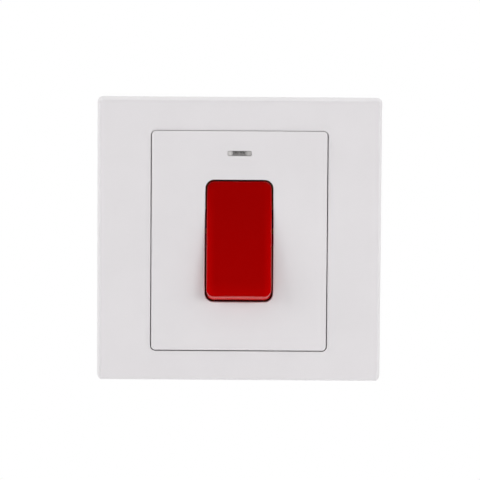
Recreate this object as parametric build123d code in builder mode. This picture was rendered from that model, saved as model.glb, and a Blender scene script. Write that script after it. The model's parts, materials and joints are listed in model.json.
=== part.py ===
from build123d import *
import os
from math import atan2, cos, degrees, radians, sin, sqrt

# A double pole switch on a square wall plate, modelled in its OFF position, in millimetres.
# X runs right, Z runs up and -Y points out of the wall. The wall is the plane Y = 0.
# A value named height is a distance out of the wall, so it is negative behind the wall.

# Snap-on surround
plate_size = 86.0
plate_corner_radius = 1.7
surround_height = 8.8
surround_wall = 2.2
surround_face = 2.0
surround_draft_angle = 6.5
surround_edge_radius = 1.0
lip_wall = 1.2
lip_depth = 1.2
rest_rib_width = 8.0
hook_spacing = 44.0
hook_width = 5.0
hook_thickness = 1.5
hook_barb = 0.7
hook_barb_height = 0.3
hook_clearance = 0.25
hook_tip_height = 0.3
hook_ledge_height = 1.3

# Front plate: hidden wall flange and raised panel in one moulding
panel_width = 52.6
panel_length = 66.0
panel_corner_radius = 1.3
panel_proud = 0.4
panel_face = 2.2
panel_wall = 2.0
panel_edge_radius = 0.4
panel_gap = 0.3
panel_top_gap = 0.14
flange_thickness = 2.6
flange_corner_radius = 1.5
flange_gap = 0.4
fixing_spacing = 60.3
fixing_slot_width = 4.2
fixing_slot_length = 6.4
boss_radius = 3.2
peg_radius = 2.0
peg_clearance = 0.1

# Rocker and its bearings
rocker_width = 19.5
rocker_length = 35.4
rocker_corner_radius = 2.2
rocker_edge_radius = 0.6
rocker_crown = 0.4
rocker_wall = 1.8
rocker_face_wall = 2.0
rocker_tilt = 7.5
rocker_gap = 0.46
rocker_end_gap = 0.2
aperture_edge_radius = 0.25
pivot_depth = 4.2
face_rise = 6.2
skirt_drop = 1.0
skirt_clearance = 1.0
web_thickness = 1.6
trunnion_radius = 1.8
trunnion_length = 2.3
trunnion_clearance = 0.06
lug_radius = 3.2
bearing_gap = 0.5
bearing_thickness = 2.0
bearing_land = 2.4
bearing_drop = 2.4
bearing_entry = 3.1

# Sprung plungers in the rocker
pole_spacing = 10.0
plunger_radius = 2.0
plunger_reach = 13.0
plunger_length = 10.0
plunger_clearance = 0.1
barrel_wall = 1.0
barrel_reach = 7.0
spring_seat_rise = 2.5
spring_mean_radius = 1.6
spring_wire_radius = 0.25
spring_turns = 5
spring_end_gap = 0.02

# See-saw contacts
contact_tilt = 8.25
contact_thickness = 1.5
contact_width = 5.6
contact_end_air = 2.5
contact_clearance = 0.05
nose_clearance = 0.06
knuckle_radius = 1.2
knuckle_sink = 0.25
knuckle_inset = 0.3
fulcrum_clearance = 0.06
saddle_drop = 0.24
saddle_half_length = 2.2
tip_inset = 2.5
tip_radius = 2.0
tip_height = 1.0
tip_margin = 0.6

# Brass terminals with their tails
terminal_size = 11.0
terminal_depth = 11.0
terminal_rise = 4.1
terminal_spacing = 26.0
terminal_clearance = 0.2
terminal_edge_radius = 0.5
wire_bore_radius = 3.0
wire_bore_wall = 1.5
strap_width = 5.0
strap_thickness = 1.6
strap_air = 1.2
strap_clearance = 0.2

# Clamp screws, shown backed out
clamp_radius = 2.5
clamp_length = 7.0
clamp_backoff = 0.1
clamp_head_radius = 3.8
clamp_head_height = 2.6
clamp_head_edge_radius = 0.4
clamp_slot_width = 1.2
clamp_slot_depth = 1.4
thread_clearance = 0.05

# Rear housing
housing_gap = 0.9
housing_wall = 1.8
housing_floor = 2.0
housing_corner_radius = 2.0
housing_back_radius = 0.5
housing_rim_height = 3.0
divider_wall = 1.4
barrier_thickness = 1.6
chamber_clearance = 0.4
stop_length = 3.0
stop_width = 4.0
well_clearance = 0.4
well_wall = 1.6
well_cover = 1.3
wire_entry_clearance = 0.6
wire_entry_chamfer = 0.8
core_wall = 1.6
core_depth = 10.5
back_core_width = 24.0
back_core_length = 24.0

# Self-tapping assembly screws
assembly_spacing = 18.0
column_radius = 4.1
assembly_radius = 1.45
assembly_head_radius = 2.9
assembly_head_height = 2.0
assembly_seat_depth = 9.0
assembly_clearance = 0.15
assembly_head_clearance = 0.4
assembly_tip_gap = 0.6
pilot_clearance = 0.03

# Neon indicator
window_width = 7.2
window_height = 1.55
window_corner_radius = 0.4
window_inset = 6.7
lens_fit = 0.1
lens_recess = 0.2
lens_body_width = 8.4
lens_body_height = 4.6
lens_body_depth = 3.5
shroud_wall = 1.2
lamp_radius = 1.6
lamp_length = 8.5
lamp_fit = 0.15
lamp_recess = 1.0
lamp_base_chamfer = 0.5
lead_radius = 0.3
lead_spread = 0.7
lead_drop = 2.2
lead_bend = 0.7
lead_landing = 9.8
lead_slot_clearance = 0.4
resistor_radius = 1.1
resistor_length = 6.0
resistor_edge_radius = 0.4
resistor_start = 8.4

# Places that follow from the sizes above
panel_height = surround_height + panel_proud
ceiling_height = panel_height - panel_face
pivot_height = panel_height - pivot_depth
face_back_height = surround_height - surround_face
skirt_opening = plate_size - 2 * surround_wall
flange_size = skirt_opening - 2 * flange_gap
opening_width = panel_width + 2 * panel_gap
opening_length = panel_length + panel_gap + panel_top_gap
opening_shift = (panel_top_gap - panel_gap) / 2
opening_corner_radius = panel_corner_radius + panel_gap
hollow_width = panel_width - 2 * panel_wall
hollow_length = panel_length - 2 * panel_wall
hook_place = (opening_length / 2 + lip_wall + skirt_opening / 2) / 2
rest_rib_place = (opening_width / 2 + lip_wall + skirt_opening / 2) / 2

rocker_end_radius = sqrt((rocker_length / 2) ** 2 + pivot_depth**2)
aperture_width = rocker_width + 2 * rocker_gap
aperture_length = 2 * (rocker_end_radius + rocker_end_gap)
aperture_corner_radius = rocker_corner_radius + rocker_gap
rocker_ceiling_rise = face_rise - rocker_crown - rocker_face_wall
bearing_place = rocker_width / 2 + bearing_gap + bearing_thickness / 2
bearing_half_length = trunnion_radius + bearing_land
skirt_low_height = (
    pivot_height
    - rocker_end_radius * sin(radians(rocker_tilt))
    - skirt_drop * cos(radians(rocker_tilt))
)

housing_width = hollow_width - 2 * housing_gap
housing_length = hollow_length - 2 * housing_gap
housing_inner_height = skirt_low_height - skirt_clearance
pocket_size = terminal_size + 2 * terminal_clearance
terminal_place = terminal_spacing / 2
terminal_end = housing_length / 2 - housing_wall - pocket_size / 2
chamber_length = 2 * (terminal_end - pocket_size / 2 - divider_wall)

pole_place = pole_spacing / 2
contact_reach = chamber_length / 2 - contact_end_air
tip_reach = contact_reach - tip_inset
barrel_radius = plunger_radius + plunger_clearance + barrel_wall
vertex_rise = contact_thickness + knuckle_sink
hinge_height = pivot_height - plunger_reach - nose_clearance - vertex_rise
closed_height = hinge_height + vertex_rise * cos(radians(contact_tilt)) - contact_thickness
closed_tip_place = vertex_rise * sin(radians(contact_tilt)) + tip_reach
fixed_face_height = closed_height - tip_height - contact_clearance
strap_front_height = fixed_face_height - tip_height
chamber_floor_height = strap_front_height - strap_thickness
saddle_height = hinge_height - saddle_drop

terminal_front_height = strap_front_height + terminal_rise
terminal_back_height = terminal_front_height - terminal_depth
wire_height = terminal_front_height - wire_bore_wall - wire_bore_radius
wire_bore_length = terminal_size - wire_bore_wall
housing_back_height = terminal_back_height - housing_floor
strap_inner = pole_place + contact_width / 2 + strap_air
strap_place = strap_inner + strap_width / 2
strap_outer = strap_inner + strap_width
chamber_width = 2 * (strap_outer + chamber_clearance)
core_width = 2 * (terminal_place - pocket_size / 2 - core_wall)

clamp_tip_height = wire_height - wire_bore_radius - clamp_backoff
clamp_seat_height = clamp_tip_height - clamp_length
clamp_back_height = clamp_seat_height - clamp_head_height
well_radius = clamp_head_radius + well_clearance
collar_radius = well_radius + well_wall
collar_back_height = clamp_back_height - well_cover
assembly_place = housing_width / 2 - column_radius
assembly_seat_height = housing_rim_height - assembly_seat_depth
assembly_tip_height = ceiling_height - assembly_tip_gap

window_place = panel_length / 2 - window_inset
lens_back_height = ceiling_height - lens_body_depth
shroud_width = lens_body_width + 2 * (lens_fit + shroud_wall)
shroud_height = lens_body_height + 2 * (lens_fit + shroud_wall)
lamp_tip_height = ceiling_height - lamp_recess
lamp_base_height = lamp_tip_height - lamp_length
lead_height = lamp_base_height - lead_drop

SIDES = {"live": 1, "neutral": -1}


def facing(height):
    """Plane parallel to the wall, with its normal out of the wall."""
    return Plane.XZ.offset(height)


def side_on(x):
    """Plane across X whose first axis is height and whose second is Z."""
    return Plane(origin=(x, 0, 0), x_dir=(0, -1, 0), z_dir=(-1, 0, 0))


def tilted(height, angle, x=0):
    """Plane through a pivot at the given height, leaning back by the angle so that its normal points up."""
    lean = radians(angle)
    return Plane(origin=(x, -height, 0), x_dir=(1, 0, 0), z_dir=(0, -cos(lean), sin(lean)))


def tilted_side(height, angle, x=0):
    """Plane across X through a pivot, turned with the tilted plane: first axis its normal, second its up."""
    lean = radians(angle)
    return Plane(origin=(x, -height, 0), x_dir=(0, -cos(lean), sin(lean)), z_dir=(-1, 0, 0))


def keep(part, name):
    """Label a finished piece and write it to its own file."""
    part.label = name
    export_step(part, f"parts/{name}.step")


os.makedirs("parts", exist_ok=True)

# Surround: drafted square cap with a rounded front edge, hollow behind
with BuildPart() as surround_frame:
    with BuildSketch(facing(0)):
        RectangleRounded(plate_size, plate_size, plate_corner_radius)
    extrude(amount=surround_height, taper=surround_draft_angle)
    fillet(surround_frame.faces().sort_by(Axis.Y)[0].edges(), surround_edge_radius)
    with BuildSketch(facing(0)):
        RectangleRounded(skirt_opening, skirt_opening, flange_corner_radius + flange_gap)
    extrude(amount=face_back_height, mode=Mode.SUBTRACT)
    # Opening with its stiffening lip, set low because the panel hangs close to its top edge
    with BuildSketch(facing(face_back_height - lip_depth)):
        with Locations((0, opening_shift)):
            RectangleRounded(
                opening_width + 2 * lip_wall, opening_length + 2 * lip_wall, opening_corner_radius + lip_wall
            )
    extrude(amount=lip_depth)
    with BuildSketch(facing(0)):
        with Locations((0, opening_shift)):
            RectangleRounded(opening_width, opening_length, opening_corner_radius)
    extrude(amount=surround_height, mode=Mode.SUBTRACT)
    # Ribs that rest on the flange
    with BuildSketch(facing(flange_thickness)):
        with GridLocations(0, 2 * hook_place, 1, 2):
            Rectangle(rest_rib_width, hook_thickness)
        with GridLocations(2 * rest_rib_place, hook_spacing, 2, 2):
            Rectangle(hook_thickness, rest_rib_width)
    extrude(amount=face_back_height - flange_thickness)
    # Snap hooks that catch behind the flange's ledges
    for x in (-hook_spacing / 2, hook_spacing / 2):
        for end in (-1, 1):
            inner = end * (hook_place - hook_thickness / 2)
            outer = end * (hook_place + hook_thickness / 2)
            barb = outer + end * hook_barb
            catch_height = hook_ledge_height - peg_clearance
            with BuildSketch(side_on(x)):
                with BuildLine():
                    Polyline(
                        (face_back_height, inner),
                        (hook_tip_height, inner),
                        (hook_tip_height, outer),
                        (catch_height - hook_barb_height, barb),
                        (catch_height, barb),
                        (catch_height, outer),
                        (face_back_height, outer),
                        close=True,
                    )
                make_face()
            extrude(amount=hook_width / 2, both=True)
keep(surround_frame.part, "surround_frame")

# Front plate: flange on the wall, raised hollow panel, bearings, bosses and pegs behind it
with BuildPart() as front_plate:
    with BuildSketch(facing(0)):
        RectangleRounded(flange_size, flange_size, flange_corner_radius)
    extrude(amount=flange_thickness)
    with BuildSketch(facing(0)):
        RectangleRounded(panel_width, panel_length, panel_corner_radius)
    extrude(amount=panel_height)
    fillet(front_plate.faces().sort_by(Axis.Y)[0].edges(), panel_edge_radius)
    with BuildSketch(facing(0)):
        RectangleRounded(aperture_width, aperture_length, aperture_corner_radius)
    extrude(amount=panel_height, mode=Mode.SUBTRACT)
    fillet(front_plate.faces().sort_by(Axis.Y)[0].inner_wires()[0].edges(), aperture_edge_radius)
    with BuildSketch(facing(0)):
        Rectangle(hollow_width, hollow_length)
    extrude(amount=ceiling_height, mode=Mode.SUBTRACT)
    # Bosses for the assembly screws, seated on the housing's columns
    with BuildSketch(facing(housing_rim_height)):
        with GridLocations(2 * assembly_place, assembly_spacing, 2, 2):
            Circle(boss_radius)
            Circle(assembly_radius + pilot_clearance, mode=Mode.SUBTRACT)
    extrude(amount=ceiling_height - housing_rim_height)
    # Pegs that hold the terminals down in their pockets
    with BuildSketch(facing(terminal_front_height + peg_clearance)):
        with GridLocations(2 * terminal_place, 2 * terminal_end, 2, 2):
            Circle(peg_radius)
    extrude(amount=ceiling_height - terminal_front_height - peg_clearance)
    # Snap-in bearings for the trunnions, open at the back
    for x in (-bearing_place, bearing_place):
        with BuildSketch(side_on(x)):
            with Locations((pivot_height - bearing_drop, 0)):
                Rectangle(
                    ceiling_height - pivot_height + bearing_drop,
                    2 * bearing_half_length,
                    align=(Align.MIN, Align.CENTER),
                )
                Rectangle(
                    bearing_drop, bearing_entry, align=(Align.MIN, Align.CENTER), mode=Mode.SUBTRACT
                )
            with Locations((pivot_height, 0)):
                Circle(trunnion_radius + trunnion_clearance, mode=Mode.SUBTRACT)
        extrude(amount=bearing_thickness / 2, both=True)
    # Shroud and window of the indicator
    with BuildSketch(facing(lens_back_height)):
        with Locations((0, window_place)):
            Rectangle(shroud_width, shroud_height)
            Rectangle(
                lens_body_width + 2 * lens_fit, lens_body_height + 2 * lens_fit, mode=Mode.SUBTRACT
            )
    extrude(amount=lens_body_depth)
    with BuildSketch(facing(ceiling_height)):
        with Locations((0, window_place)):
            RectangleRounded(window_width, window_height, window_corner_radius)
    extrude(amount=panel_face, mode=Mode.SUBTRACT)
    # Fixing slots on the box centres
    with BuildSketch(facing(0)):
        with GridLocations(fixing_spacing, 0, 2, 1):
            SlotOverall(fixing_slot_length, fixing_slot_width)
    extrude(amount=flange_thickness, mode=Mode.SUBTRACT)
    # Openings for the snap hooks, each with a ledge for its barb
    with BuildSketch(facing(0)):
        with GridLocations(hook_spacing, 2 * hook_place, 2, 2):
            Rectangle(hook_width + 2 * hook_clearance, hook_thickness + 2 * hook_clearance)
    extrude(amount=flange_thickness, mode=Mode.SUBTRACT)
    with BuildSketch(facing(0)):
        with GridLocations(hook_spacing, 2 * hook_place + hook_barb, 2, 2):
            Rectangle(hook_width + 2 * hook_clearance, hook_thickness + hook_barb + 2 * hook_clearance)
    extrude(amount=hook_ledge_height, mode=Mode.SUBTRACT)
keep(front_plate.part, "front_plate")

# Indicator lens: bar in the window on a body that cups the lamp's dome
with BuildPart() as indicator_lens:
    with BuildSketch(facing(lens_back_height)):
        with Locations((0, window_place)):
            Rectangle(lens_body_width, lens_body_height)
    extrude(amount=lens_body_depth)
    with BuildSketch(facing(ceiling_height)):
        with Locations((0, window_place)):
            RectangleRounded(
                window_width - 2 * lens_fit,
                window_height - 2 * lens_fit,
                window_corner_radius - lens_fit,
            )
    extrude(amount=panel_face - lens_recess)
    with BuildSketch(facing(lens_back_height)):
        with Locations((0, window_place)):
            Circle(lamp_radius + lamp_fit)
    extrude(amount=lens_body_depth - lamp_recess + lamp_fit, mode=Mode.SUBTRACT)
keep(indicator_lens.part, "indicator_lens")

# Neon lamp: domed glass tube pointing out of the wall
lamp_axis = Axis((0, 0, window_place), (0, -1, 0))
with BuildPart() as neon_lamp:
    with BuildSketch(side_on(0)):
        with BuildLine():
            dome_edge = lamp_tip_height - lamp_radius
            glass_side = window_place + lamp_radius
            Line((lamp_base_height, window_place), (lamp_tip_height, window_place))
            RadiusArc((lamp_tip_height, window_place), (dome_edge, glass_side), -lamp_radius)
            Polyline(
                (dome_edge, glass_side),
                (lamp_base_height + lamp_base_chamfer, glass_side),
                (lamp_base_height, glass_side - lamp_base_chamfer),
                (lamp_base_height, window_place),
            )
        make_face()
    revolve(axis=lamp_axis)
keep(neon_lamp.part, "neon_lamp")


def lead(points):
    """Round wire along straight runs at the window's level, joined by bends."""
    with BuildPart() as wire:
        with BuildLine() as route:
            FilletPolyline(*[(x, -height, window_place) for x, height in points], radius=lead_bend)
        with BuildSketch(Plane(route.line @ 0, z_dir=route.line % 0)):
            Circle(lead_radius)
        sweep()
    return wire.part


resistor_end = resistor_start + resistor_length
keep(
    lead(
        [
            (lead_spread, lamp_base_height),
            (lead_spread, lead_height),
            (resistor_start, lead_height),
        ]
    ),
    "lamp_lead_live",
)
keep(
    lead(
        [
            (-lead_spread, lamp_base_height),
            (-lead_spread, lead_height),
            (-lead_landing, lead_height),
            (-lead_landing, terminal_front_height),
        ]
    ),
    "lamp_lead_neutral",
)
keep(
    lead(
        [
            (resistor_end, lead_height),
            (resistor_end + 2 * lead_bend, lead_height),
            (resistor_end + 2 * lead_bend, terminal_front_height),
        ]
    ),
    "resistor_lead",
)

# Series resistor in the live lead, over the load terminal
with BuildPart() as neon_resistor:
    with BuildSketch(Plane(origin=(resistor_start, -lead_height, window_place), z_dir=(1, 0, 0))):
        Circle(resistor_radius)
    extrude(amount=resistor_length)
    fillet(neon_resistor.edges().filter_by(GeomType.CIRCLE), resistor_edge_radius)
keep(neon_resistor.part, "neon_resistor")

# Housing: box behind the panel with contact chambers, terminal pockets and screw wells
with BuildPart() as housing:
    with BuildSketch(facing(housing_back_height)):
        RectangleRounded(housing_width, housing_length, housing_corner_radius)
    extrude(amount=housing_rim_height - housing_back_height)
    fillet(housing.faces().sort_by(Axis.Y)[-1].edges(), housing_back_radius)
    with BuildSketch(facing(collar_back_height)):
        with GridLocations(2 * terminal_place, 2 * terminal_end, 2, 2):
            Circle(collar_radius)
    extrude(amount=housing_back_height - collar_back_height)
    # Rim and screw columns stand above the inner walls
    with BuildSketch(facing(housing_inner_height)):
        Rectangle(housing_width - 2 * housing_wall, housing_length - 2 * housing_wall)
        with GridLocations(2 * assembly_place, assembly_spacing, 2, 2):
            Circle(column_radius, mode=Mode.SUBTRACT)
    extrude(amount=housing_rim_height - housing_inner_height, mode=Mode.SUBTRACT)
    # One contact chamber for each pole, parted by a barrier
    with BuildSketch(facing(chamber_floor_height)):
        Rectangle(chamber_width, chamber_length)
        Rectangle(barrier_thickness, chamber_length, mode=Mode.SUBTRACT)
    extrude(amount=housing_inner_height - chamber_floor_height, mode=Mode.SUBTRACT)
    # Terminal pockets, and the slots that let the tails into the chambers
    with BuildSketch(facing(terminal_back_height)):
        with GridLocations(2 * terminal_place, 2 * terminal_end, 2, 2):
            Rectangle(pocket_size, pocket_size)
    extrude(amount=housing_inner_height - terminal_back_height, mode=Mode.SUBTRACT)
    with BuildSketch(facing(chamber_floor_height)):
        with GridLocations(2 * strap_place, chamber_length + divider_wall, 2, 2):
            Rectangle(strap_width + 2 * strap_clearance, divider_wall)
    extrude(amount=housing_inner_height - chamber_floor_height, mode=Mode.SUBTRACT)
    # Cored spaces between the terminals; the upper one takes the lamp
    with BuildSketch(facing(housing_inner_height - core_depth)):
        with GridLocations(0, 2 * terminal_end, 1, 2):
            Rectangle(core_width, pocket_size)
    extrude(amount=core_depth, mode=Mode.SUBTRACT)
    with BuildSketch(facing(lead_height - lead_radius - lead_slot_clearance)):
        with GridLocations(core_width + core_wall, 0, 2, 1):
            with Locations((0, window_place)):
                Rectangle(core_wall, 2 * (lead_radius + lead_slot_clearance))
    extrude(
        amount=housing_inner_height - lead_height + lead_radius + lead_slot_clearance,
        mode=Mode.SUBTRACT,
    )
    # Stop pads under the see-saws' supply ends
    with BuildSketch(facing(chamber_floor_height)):
        with Locations((-pole_place, -tip_reach), (pole_place, -tip_reach)):
            Rectangle(stop_width, stop_length)
    extrude(amount=closed_height - contact_clearance - chamber_floor_height)
    # Wells that reach the clamp screws from behind
    with BuildSketch(facing(collar_back_height)):
        with GridLocations(2 * terminal_place, 2 * terminal_end, 2, 2):
            Circle(well_radius)
    extrude(amount=terminal_back_height - collar_back_height, mode=Mode.SUBTRACT)
    # Wire entries in both ends, in line with the terminal bores
    for end in (-1, 1):
        with BuildSketch(Plane.XY.offset(end * housing_length / 2)):
            with Locations((-terminal_place, -wire_height), (terminal_place, -wire_height)):
                Circle(wire_bore_radius + wire_entry_clearance)
        extrude(amount=-end * housing_wall, mode=Mode.SUBTRACT)
        end_face = housing.faces().filter_by(Axis.Z).sort_by(Axis.Z)[0 if end < 0 else -1]
        entry_edges = end_face.edges().filter_by(GeomType.CIRCLE)
        entry_edges = entry_edges.filter_by(lambda edge: edge.is_closed)
        chamfer(entry_edges, wire_entry_chamfer)
    # Assembly screw holes, counterbored from behind
    with BuildSketch(facing(housing_back_height)):
        with GridLocations(2 * assembly_place, assembly_spacing, 2, 2):
            Circle(assembly_head_radius + assembly_head_clearance)
    extrude(amount=assembly_seat_height - housing_back_height, mode=Mode.SUBTRACT)
    with BuildSketch(facing(assembly_seat_height)):
        with GridLocations(2 * assembly_place, assembly_spacing, 2, 2):
            Circle(assembly_radius + assembly_clearance)
    extrude(amount=assembly_seat_depth, mode=Mode.SUBTRACT)
    # Cored back behind the chambers, with a stiffening rib
    with BuildSketch(facing(housing_back_height)):
        Rectangle(back_core_width, back_core_length)
        Rectangle(barrier_thickness, back_core_length, mode=Mode.SUBTRACT)
    extrude(
        amount=chamber_floor_height - housing_floor - housing_back_height,
        mode=Mode.SUBTRACT,
    )
keep(housing.part, "housing")

# Pan-head screws from the housing's back into the front plate's bosses
with BuildPart() as housing_screws:
    with BuildSketch(facing(assembly_seat_height)):
        with GridLocations(2 * assembly_place, assembly_spacing, 2, 2):
            Circle(assembly_radius)
    extrude(amount=assembly_tip_height - assembly_seat_height)
    with BuildSketch(facing(assembly_seat_height - assembly_head_height)):
        with GridLocations(2 * assembly_place, assembly_spacing, 2, 2):
            Circle(assembly_head_radius)
    extrude(amount=assembly_head_height)
    head_backs = housing_screws.faces().filter_by(Axis.Y).group_by(Axis.Y)[-1]
    fillet(head_backs.edges(), assembly_head_height / 2)
keep(housing_screws.part, "housing_screws")


def terminal_block(side, end):
    """Brass block with a blind wire bore from its outer end and a clamp screw hole from behind."""
    with BuildPart() as block:
        with BuildSketch(facing(terminal_back_height)):
            with Locations((side * terminal_place, end * terminal_end)):
                RectangleRounded(terminal_size, terminal_size, terminal_edge_radius)
        extrude(amount=terminal_depth)
        with BuildSketch(Plane.XY.offset(end * (terminal_end + terminal_size / 2))):
            with Locations((side * terminal_place, -wire_height)):
                Circle(wire_bore_radius)
        extrude(amount=-end * wire_bore_length, mode=Mode.SUBTRACT)
        with BuildSketch(facing(terminal_back_height)):
            with Locations((side * terminal_place, end * terminal_end)):
                Circle(clamp_radius + thread_clearance)
        extrude(amount=wire_height - terminal_back_height, mode=Mode.SUBTRACT)
    return block.part


def supply_terminal(side):
    """Lower terminal whose tail carries the see-saw's grooved fulcrum."""
    block = terminal_block(side, -1)
    tail_length = terminal_end - terminal_size / 2 + saddle_half_length
    with BuildPart() as terminal:
        add(block)
        with BuildSketch(facing(chamber_floor_height)):
            with Locations((side * strap_place, saddle_half_length - tail_length / 2)):
                Rectangle(strap_width, tail_length)
            with Locations((side * (pole_place + strap_inner) / 2, 0)):
                Rectangle(strap_inner - pole_place + contact_width, 2 * saddle_half_length)
        extrude(amount=strap_thickness)
        with BuildSketch(side_on(side * pole_place)):
            with Locations((strap_front_height, 0)):
                Rectangle(
                    saddle_height - strap_front_height,
                    2 * saddle_half_length,
                    align=(Align.MIN, Align.CENTER),
                )
            with Locations((hinge_height, 0)):
                Circle(knuckle_radius + fulcrum_clearance, mode=Mode.SUBTRACT)
        extrude(amount=contact_width / 2, both=True)
    return terminal.part


def load_terminal(side):
    """Upper terminal whose tail carries the fixed contact."""
    block = terminal_block(side, 1)
    seat_half = tip_radius + tip_margin
    tail_start = closed_tip_place - seat_half
    tail_length = terminal_end - terminal_size / 2 - tail_start
    with BuildPart() as terminal:
        add(block)
        with BuildSketch(facing(chamber_floor_height)):
            with Locations((side * strap_place, tail_start + tail_length / 2)):
                Rectangle(strap_width, tail_length)
            with Locations((side * (pole_place - seat_half + strap_outer) / 2, closed_tip_place)):
                Rectangle(strap_outer - pole_place + seat_half, 2 * seat_half)
        extrude(amount=strap_thickness)
    return terminal.part


def fixed_contact(side):
    """Silver button on the load terminal's tail."""
    with BuildPart() as button:
        with BuildSketch(facing(strap_front_height)):
            with Locations((side * pole_place, closed_tip_place)):
                Circle(tip_radius)
        extrude(amount=tip_height)
    return button.part


def moving_contact(side):
    """Shallow V of copper strip, both wings rising from a half-round knuckle."""
    arm_plane = tilted_side(hinge_height, -contact_tilt, side * pole_place)
    rise = sin(radians(contact_tilt))
    run = cos(radians(contact_tilt))
    wing_front = (vertex_rise + contact_reach * rise, contact_reach * run)
    wing_back = (wing_front[0] - contact_thickness * run, wing_front[1] + contact_thickness * rise)
    with BuildPart() as arm:
        with BuildSketch(arm_plane):
            with BuildLine():
                Polyline(
                    (vertex_rise, 0),
                    wing_front,
                    wing_back,
                    (vertex_rise - contact_thickness / run, 0),
                    (wing_back[0], -wing_back[1]),
                    (wing_front[0], -wing_front[1]),
                    close=True,
                )
            make_face()
        extrude(amount=contact_width / 2, both=True)
        with BuildSketch(arm_plane):
            Circle(knuckle_radius)
        extrude(amount=contact_width / 2 - knuckle_inset, both=True)
    return arm.part


def moving_tip(side):
    """Silver button behind the see-saw's load wing."""
    arm_plane = tilted_side(hinge_height, -contact_tilt, side * pole_place)
    rise = sin(radians(contact_tilt))
    run = cos(radians(contact_tilt))
    seat = arm_plane.from_local_coords(
        Vector(
            vertex_rise + tip_reach * rise - contact_thickness * run,
            tip_reach * run + contact_thickness * rise,
            0,
        )
    )
    wing_plane = tilted(0, -2 * contact_tilt)
    with BuildPart() as button:
        with BuildSketch(Plane(origin=seat, x_dir=wing_plane.x_dir, z_dir=wing_plane.z_dir)):
            Circle(tip_radius)
        extrude(amount=-tip_height)
    return button.part


def plunger(side):
    """Round-nosed pin on the rocker's centre line."""
    side_plane = tilted_side(pivot_height, rocker_tilt, side * pole_place)
    nose_centre = plunger_radius - plunger_reach
    back = plunger_length - plunger_reach
    with BuildPart() as pin:
        with BuildSketch(side_plane):
            with BuildLine():
                RadiusArc((-plunger_reach, 0), (nose_centre, plunger_radius), plunger_radius)
                Polyline(
                    (nose_centre, plunger_radius),
                    (back, plunger_radius),
                    (back, 0),
                    (-plunger_reach, 0),
                )
            make_face()
        revolve(axis=Axis(side_plane.origin, side_plane.x_dir))
    return pin.part


def plunger_spring(side):
    """Compression spring between the plunger's back and the end of its barrel."""
    start_rise = plunger_length - plunger_reach + spring_wire_radius + spring_end_gap
    height = spring_seat_rise - spring_wire_radius - spring_end_gap - start_rise
    base_plane = tilted(pivot_height, rocker_tilt, side * pole_place).offset(start_rise)
    with BuildPart() as coil:
        with BuildLine() as wire:
            Helix(
                height / spring_turns,
                height,
                spring_mean_radius,
                center=base_plane.origin,
                direction=base_plane.z_dir,
            )
        with BuildSketch(Plane(wire.line @ 0, z_dir=wire.line % 0)):
            Circle(spring_wire_radius)
        sweep(is_frenet=True)
    return coil.part


for pole, side in SIDES.items():
    keep(supply_terminal(side), f"supply_terminal_{pole}")
    keep(load_terminal(side), f"load_terminal_{pole}")
    keep(fixed_contact(side), f"fixed_contact_{pole}")
    keep(moving_contact(side), f"moving_contact_{pole}")
    keep(moving_tip(side), f"moving_tip_{pole}")
    keep(plunger(side), f"plunger_{pole}")
    keep(plunger_spring(side), f"plunger_spring_{pole}")

# Clamp screws, backed out so that the wire bores are clear
with BuildPart() as terminal_screws:
    with BuildSketch(facing(clamp_seat_height)):
        with GridLocations(2 * terminal_place, 2 * terminal_end, 2, 2):
            Circle(clamp_radius)
    extrude(amount=clamp_length)
    with BuildSketch(facing(clamp_back_height)):
        with GridLocations(2 * terminal_place, 2 * terminal_end, 2, 2):
            Circle(clamp_head_radius)
    extrude(amount=clamp_head_height)
    clamp_backs = terminal_screws.faces().filter_by(Axis.Y).group_by(Axis.Y)[-1]
    fillet(clamp_backs.edges(), clamp_head_edge_radius)
    with BuildSketch(facing(clamp_back_height)):
        with GridLocations(2 * terminal_place, 2 * terminal_end, 2, 2):
            Rectangle(2 * clamp_head_radius, clamp_slot_width)
    extrude(amount=clamp_slot_depth, mode=Mode.SUBTRACT)
keep(terminal_screws.part, "terminal_screws")

# Rocker: crowned face, ends round about the pivot, hollow behind with two plunger barrels
rocker_side = tilted_side(pivot_height, rocker_tilt)
rocker_front = tilted(pivot_height, rocker_tilt)
rocker_section = Plane(
    origin=rocker_front.origin, x_dir=(1, 0, 0), z_dir=rocker_front.y_dir * -1
)


def end_profile(radius, low, high):
    """Closed side profile between two levels, with both ends on one circle about the pivot."""
    high_angle = degrees(atan2(sqrt(radius**2 - high**2), high))
    low_angle = degrees(atan2(sqrt(radius**2 - low**2), low))
    with BuildSketch(rocker_side) as profile:
        with BuildLine():
            upper = CenterArc((0, 0), radius, high_angle, low_angle - high_angle)
            lower = CenterArc((0, 0), radius, -low_angle, low_angle - high_angle)
            Line(upper @ 0, lower @ 1)
            Line(upper @ 1, lower @ 0)
        make_face()
    return profile.sketch


outer_profile = end_profile(rocker_end_radius, -skirt_drop, face_rise)
inner_profile = end_profile(rocker_end_radius - rocker_wall, -skirt_drop, rocker_ceiling_rise)

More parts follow.
